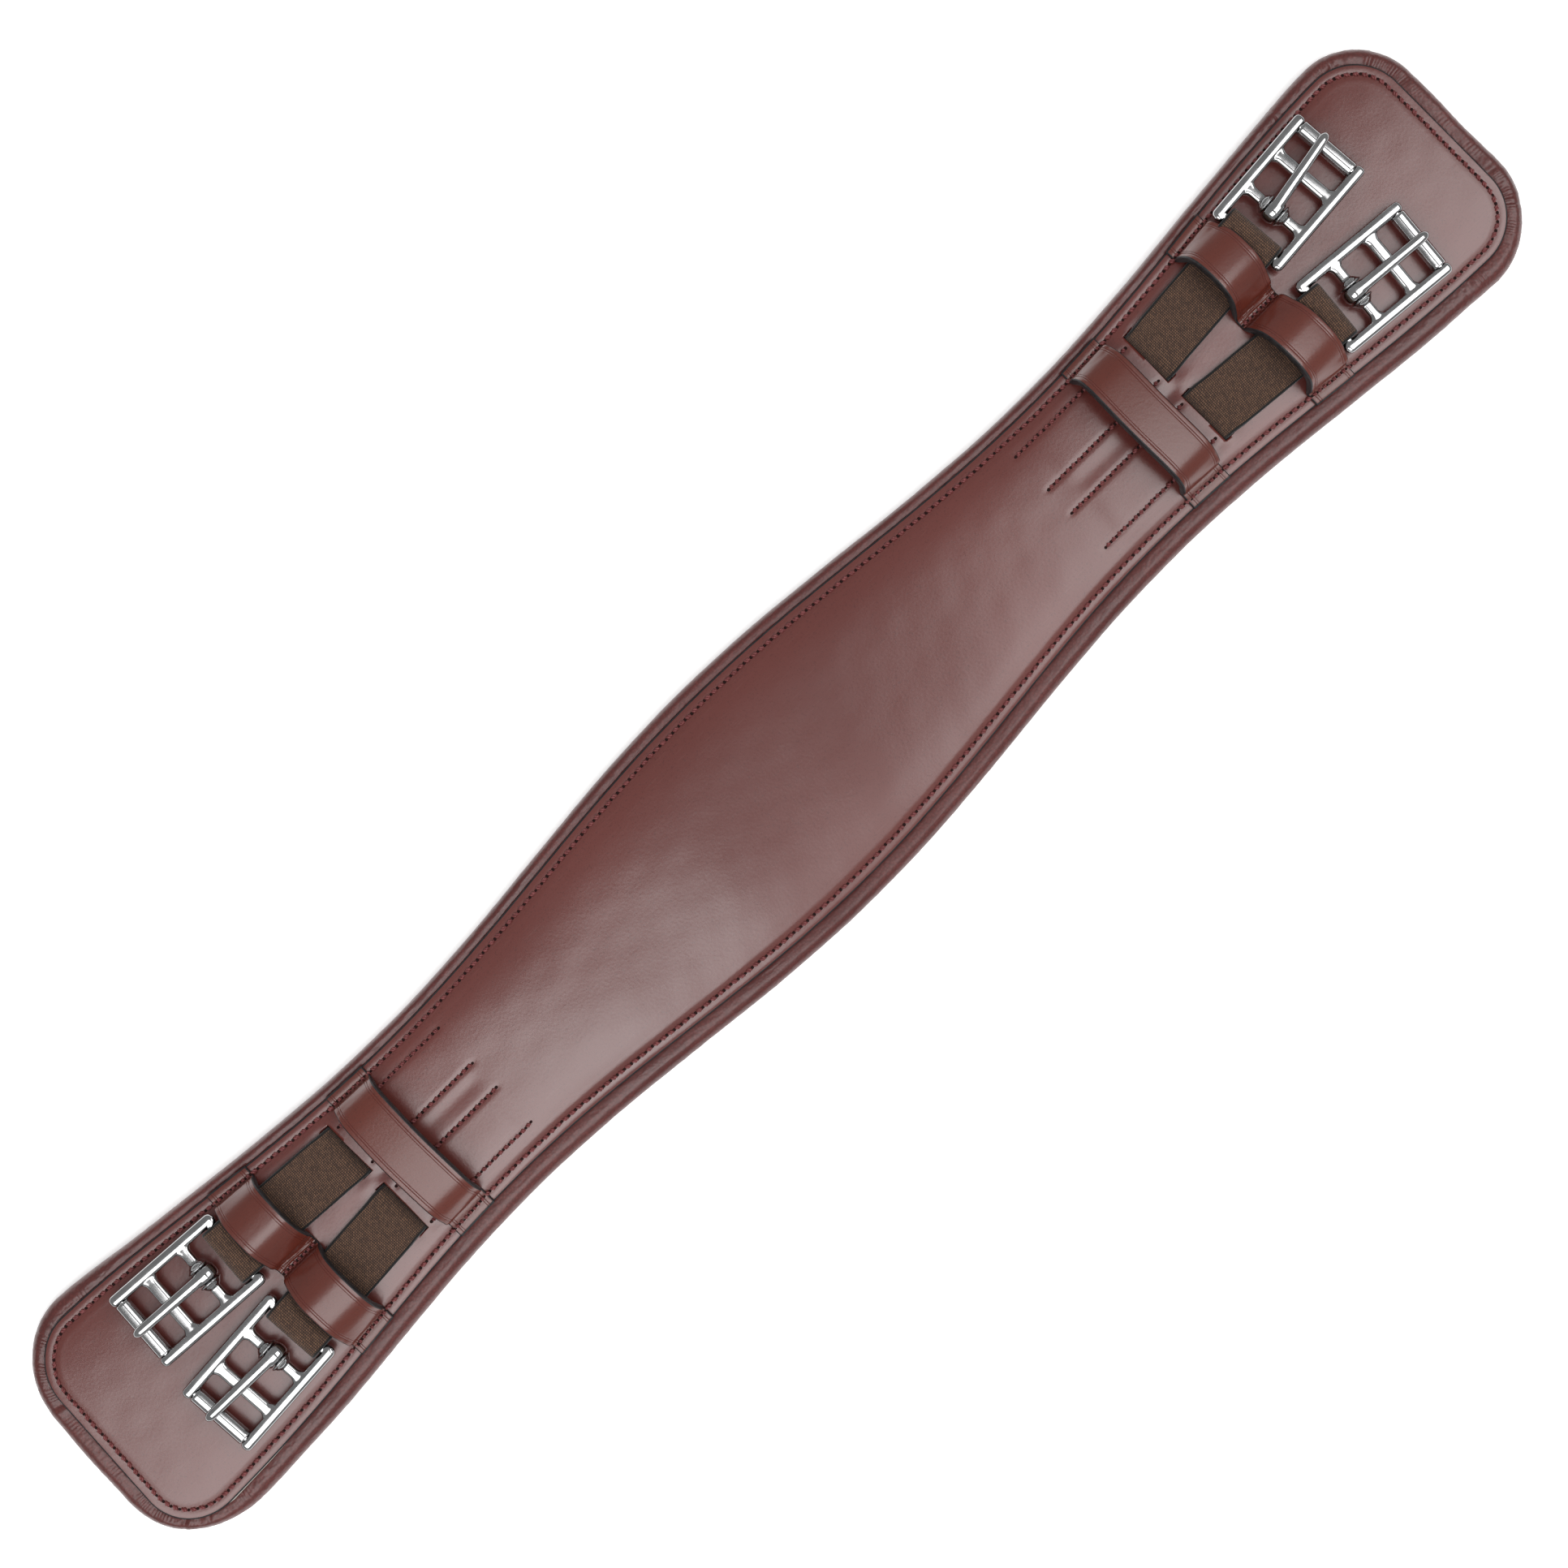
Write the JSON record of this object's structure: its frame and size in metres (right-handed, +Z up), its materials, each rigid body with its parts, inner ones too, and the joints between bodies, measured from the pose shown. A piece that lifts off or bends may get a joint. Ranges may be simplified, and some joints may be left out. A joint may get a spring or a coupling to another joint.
{
  "type": "saddle girth",
  "caption": "Short padded leather saddle girth with splayed elastic straps, leather keepers and roller buckles at both ends.",
  "frame": {"origin": "middle of the padded underside, on the surface it lies on", "axes": "+X along the girth to its near-side end, +Y to its front edge, +Z up out of the leather panel"},
  "size_m": [0.848, 0.1256, 0.031],
  "materials": {
    "panel_leather": "smooth waxed leather with dyed edges",
    "lining_leather": "soft leather, satin",
    "keeper_leather": "smooth creased leather with dyed edges",
    "thread": "waxed thread",
    "elastic": "woven elastic web",
    "foam": "closed-cell foam",
    "webbing": "flat nylon webbing",
    "polished_steel": "polished stainless steel"
  },
  "bodies": {
    "root": {"padded_lining": "lining_leather", "foam_base": "foam", "foam_top": "foam", "core_webbing": "webbing", "outer_panel": "panel_leather", "twin_keeper_near": "keeper_leather", "twin_keeper_off": "keeper_leather", "wide_keeper_near": "keeper_leather", "wide_keeper_off": "keeper_leather", "elastic_web_near_front": "elastic", "elastic_web_near_rear": "elastic", "elastic_web_off_front": "elastic", "elastic_web_off_rear": "elastic"},
    "strap_end_near_front": {"elastic_loop_near_front": "elastic"},
    "buckle_near_front": {"buckle_frame_near_front": "polished_steel", "roller_pin_near_front": "polished_steel"},
    "tongue_near_front": {"buckle_tongue_near_front": "polished_steel"},
    "roller_near_front": {"buckle_roller_near_front": "polished_steel"},
    "strap_end_near_rear": {"elastic_loop_near_rear": "elastic"},
    "buckle_near_rear": {"buckle_frame_near_rear": "polished_steel", "roller_pin_near_rear": "polished_steel"},
    "tongue_near_rear": {"buckle_tongue_near_rear": "polished_steel"},
    "roller_near_rear": {"buckle_roller_near_rear": "polished_steel"},
    "strap_end_off_front": {"elastic_loop_off_front": "elastic"},
    "buckle_off_front": {"buckle_frame_off_front": "polished_steel", "roller_pin_off_front": "polished_steel"},
    "tongue_off_front": {"buckle_tongue_off_front": "polished_steel"},
    "roller_off_front": {"buckle_roller_off_front": "polished_steel"},
    "strap_end_off_rear": {"elastic_loop_off_rear": "elastic"},
    "buckle_off_rear": {"buckle_frame_off_rear": "polished_steel", "roller_pin_off_rear": "polished_steel"},
    "tongue_off_rear": {"buckle_tongue_off_rear": "polished_steel"},
    "roller_off_rear": {"buckle_roller_off_rear": "polished_steel"}
  },
  "joints": [
    {"name": "elastic_stretch_near_front", "type": "slide", "parent": "root", "child": "strap_end_near_front", "axis": [0.9966, 0.0822, 0], "range_m": [0, 0.02], "stiffness_N_per_m": 4000, "deforming": ["elastic_web_near_front"]},
    {"name": "buckle_swing_near_front", "type": "hinge", "parent": "strap_end_near_front", "child": "buckle_near_front", "pos_m": [0.3182, 0.027, 0.0213], "axis": [0.0822, -0.9966, 0], "range_deg": [0, 95]},
    {"name": "tongue_swing_near_front", "type": "hinge", "parent": "buckle_near_front", "child": "tongue_near_front", "pos_m": [0.33444, 0.02834, 0.0213], "axis": [-0.0822, 0.9966, 0], "range_deg": [-130, 0]},
    {"name": "roller_spin_near_front", "type": "hinge", "parent": "buckle_near_front", "child": "roller_near_front", "pos_m": [0.36973, 0.03125, 0.0213], "axis": [-0.0822, 0.9966, 0], "continuous": true},
    {"name": "elastic_stretch_near_rear", "type": "slide", "parent": "root", "child": "strap_end_near_rear", "axis": [0.996, -0.089, 0], "range_m": [0, 0.02], "stiffness_N_per_m": 4000, "deforming": ["elastic_web_near_rear"]},
    {"name": "buckle_swing_near_rear", "type": "hinge", "parent": "strap_end_near_rear", "child": "buckle_near_rear", "pos_m": [0.3186, -0.0211, 0.0213], "axis": [-0.089, -0.996, 0], "range_deg": [0, 95]},
    {"name": "tongue_swing_near_rear", "type": "hinge", "parent": "buckle_near_rear", "child": "tongue_near_rear", "pos_m": [0.33483, -0.02255, 0.0213], "axis": [0.089, 0.996, 0], "range_deg": [-130, 0]},
    {"name": "roller_spin_near_rear", "type": "hinge", "parent": "buckle_near_rear", "child": "roller_near_rear", "pos_m": [0.3701, -0.0257, 0.0213], "axis": [0.089, 0.996, 0], "continuous": true},
    {"name": "elastic_stretch_off_front", "type": "slide", "parent": "root", "child": "strap_end_off_front", "axis": [-0.998, 0.063, 0], "range_m": [0, 0.02], "stiffness_N_per_m": 4000, "deforming": ["elastic_web_off_front"]},
    {"name": "buckle_swing_off_front", "type": "hinge", "parent": "strap_end_off_front", "child": "buckle_off_front", "pos_m": [-0.3107, 0.025, 0.0213], "axis": [0.063, 0.998, 0], "range_deg": [0, 95]},
    {"name": "tongue_swing_off_front", "type": "hinge", "parent": "buckle_off_front", "child": "tongue_off_front", "pos_m": [-0.32697, 0.02603, 0.0213], "axis": [-0.063, -0.998, 0], "range_deg": [-130, 0]},
    {"name": "roller_spin_off_front", "type": "hinge", "parent": "buckle_off_front", "child": "roller_off_front", "pos_m": [-0.3623, 0.02826, 0.0213], "axis": [-0.063, -0.998, 0], "continuous": true},
    {"name": "elastic_stretch_off_rear", "type": "slide", "parent": "root", "child": "strap_end_off_rear", "axis": [-0.9975, -0.0702, 0], "range_m": [0, 0.02], "stiffness_N_per_m": 4000, "deforming": ["elastic_web_off_rear"]},
    {"name": "buckle_swing_off_rear", "type": "hinge", "parent": "strap_end_off_rear", "child": "buckle_off_rear", "pos_m": [-0.3138, -0.0191, 0.0213], "axis": [-0.0702, 0.9975, 0], "range_deg": [0, 95]},
    {"name": "tongue_swing_off_rear", "type": "hinge", "parent": "buckle_off_rear", "child": "tongue_off_rear", "pos_m": [-0.33006, -0.02024, 0.0213], "axis": [0.0702, -0.9975, 0], "range_deg": [-130, 0]},
    {"name": "roller_spin_off_rear", "type": "hinge", "parent": "buckle_off_rear", "child": "roller_off_rear", "pos_m": [-0.36537, -0.02273, 0.0213], "axis": [0.0702, -0.9975, 0], "continuous": true}
  ]
}
